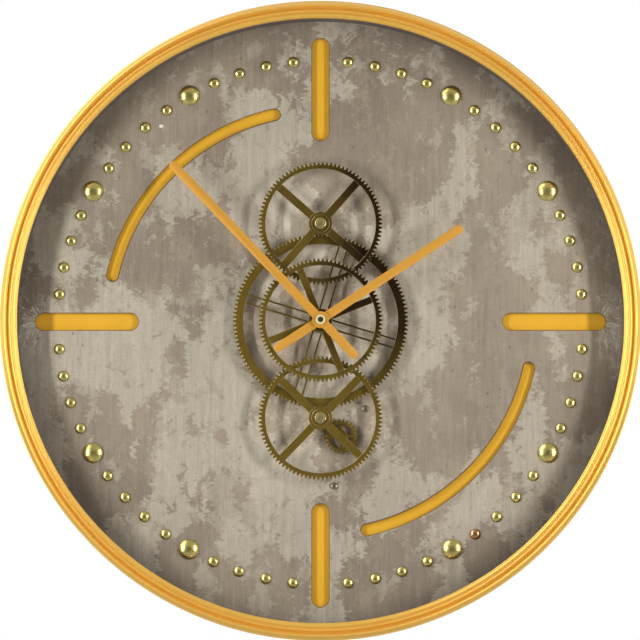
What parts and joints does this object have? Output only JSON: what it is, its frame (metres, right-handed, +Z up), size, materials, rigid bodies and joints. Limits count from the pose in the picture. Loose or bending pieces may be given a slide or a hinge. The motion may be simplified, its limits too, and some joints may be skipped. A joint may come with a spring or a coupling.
{
  "type": "gear clock",
  "caption": "Round wall clock with a ribbed gold rim, mottled dial with gold cut-outs, brass nail markers, a turning train of spoked gears and plain bar hands.",
  "frame": {"origin": "on the dial axis, in the plane of the wall behind the clock", "axes": "+Z up, +X to the right as one looks at the dial, +Y into the wall; the dial faces -Y"},
  "size_m": [0.6, 0.07, 0.6],
  "materials": {
    "rim": "spun metal with polished gold plating",
    "well": "matt dark grey-brown paint",
    "dial": "thin board with a matt mottled plaster finish",
    "gold_board": "thin board faced with satin gold foil",
    "hand_gold": "satin gold plating",
    "board": "dark hardboard",
    "steel": "zinc-plated",
    "brass": "polished antique brass",
    "bronze": "darkened antique bronze with bright edges",
    "plastic": "black moulded plastic with a fine texture",
    "ivory": "cream moulded plastic",
    "cell": "plain foil sleeve on steel"
  },
  "bodies": {
    "clock_body": {"bezel_ring": "rim", "side_band": "rim", "well_ring": "well", "dial_plate": "dial", "backing_plate": "gold_board", "back_board": "board", "hanger_plate": "steel", "hanger_screw_left": "steel", "hanger_screw_right": "steel", "standoff_1": "steel", "standoff_2": "steel", "standoff_3": "steel", "back_screw_1": "steel", "back_screw_2": "steel", "back_screw_3": "steel", "hour_stud_1": "brass", "hour_stud_2": "brass", "hour_stud_4": "brass", "hour_stud_5": "brass", "hour_stud_7": "brass", "hour_stud_8": "brass", "hour_stud_10": "brass", "hour_stud_11": "brass", "minute_studs_upper_right": "brass", "minute_studs_lower_right": "brass", "minute_studs_lower_left": "brass", "minute_studs_upper_left": "brass", "movement_case": "plastic", "movement_cover": "plastic", "movement_neck": "brass", "neck_washer": "steel", "neck_nut": "brass", "movement_battery": "cell", "top_bearing": "brass", "bottom_bearing": "brass", "motor_housing": "plastic", "motor_cover": "plastic", "gear_motor": "steel", "motor_battery_upper": "cell", "motor_battery_lower": "cell", "switch_body": "plastic", "motor_screw_upper": "brass", "motor_screw_lower": "brass"},
    "centre_train": {"centre_hub": "bronze", "centre_wheel": "bronze", "big_wheel": "bronze"},
    "top_train": {"top_arbor": "brass", "top_wheel": "bronze"},
    "bottom_train": {"bottom_arbor": "brass", "bottom_wheel": "bronze"},
    "motor_train": {"motor_shaft": "steel", "motor_gear": "bronze"},
    "hour_group": {"hour_tube": "brass", "hour_hand": "hand_gold"},
    "minute_group": {"minute_arbor": "steel", "minute_hand": "hand_gold", "hand_nut": "ivory"},
    "knob": {"set_knob": "ivory"},
    "door": {"battery_door": "plastic"},
    "slider": {"switch_slider": "ivory"}
  },
  "joints": [
    {"name": "train_turn", "type": "hinge", "parent": "clock_body", "child": "centre_train", "pos_m": [0, 0, 0], "axis": [0, 1, 0], "continuous": true},
    {"name": "top_turn", "type": "hinge", "parent": "clock_body", "child": "top_train", "pos_m": [0, 0, 0.09144], "axis": [0, 1, 0], "continuous": true},
    {"name": "bottom_turn", "type": "hinge", "parent": "clock_body", "child": "bottom_train", "pos_m": [0, 0, -0.09144], "axis": [0, 1, 0], "continuous": true},
    {"name": "motor_turn", "type": "hinge", "parent": "clock_body", "child": "motor_train", "pos_m": [0.0192, 0, -0.10807], "axis": [0, 1, 0], "continuous": true},
    {"name": "minute_turn", "type": "hinge", "parent": "clock_body", "child": "minute_group", "pos_m": [0, 0, 0], "axis": [0, 1, 0], "continuous": true},
    {"name": "hour_turn", "type": "hinge", "parent": "clock_body", "child": "hour_group", "pos_m": [0, 0, 0], "axis": [0, 1, 0], "continuous": true},
    {"name": "knob_turn", "type": "hinge", "parent": "clock_body", "child": "knob", "pos_m": [0.014, 0, 0.014], "axis": [0, 1, 0], "continuous": true},
    {"name": "door_swing", "type": "hinge", "parent": "clock_body", "child": "door", "pos_m": [0, -0.01185, -0.1282], "axis": [1, 0, 0], "range_deg": [0, 90]},
    {"name": "switch_slide", "type": "slide", "parent": "clock_body", "child": "slider", "axis": [1, 0, 0], "range_m": [0, 0.004]}
  ],
  "couplings": [
    {"joint": "top_turn", "follows": "train_turn", "ratio": -8},
    {"joint": "bottom_turn", "follows": "train_turn", "ratio": -8},
    {"joint": "motor_turn", "follows": "train_turn", "ratio": 5.3333},
    {"joint": "hour_turn", "follows": "minute_turn", "ratio": 0.083333},
    {"joint": "knob_turn", "follows": "minute_turn", "ratio": 1}
  ]
}
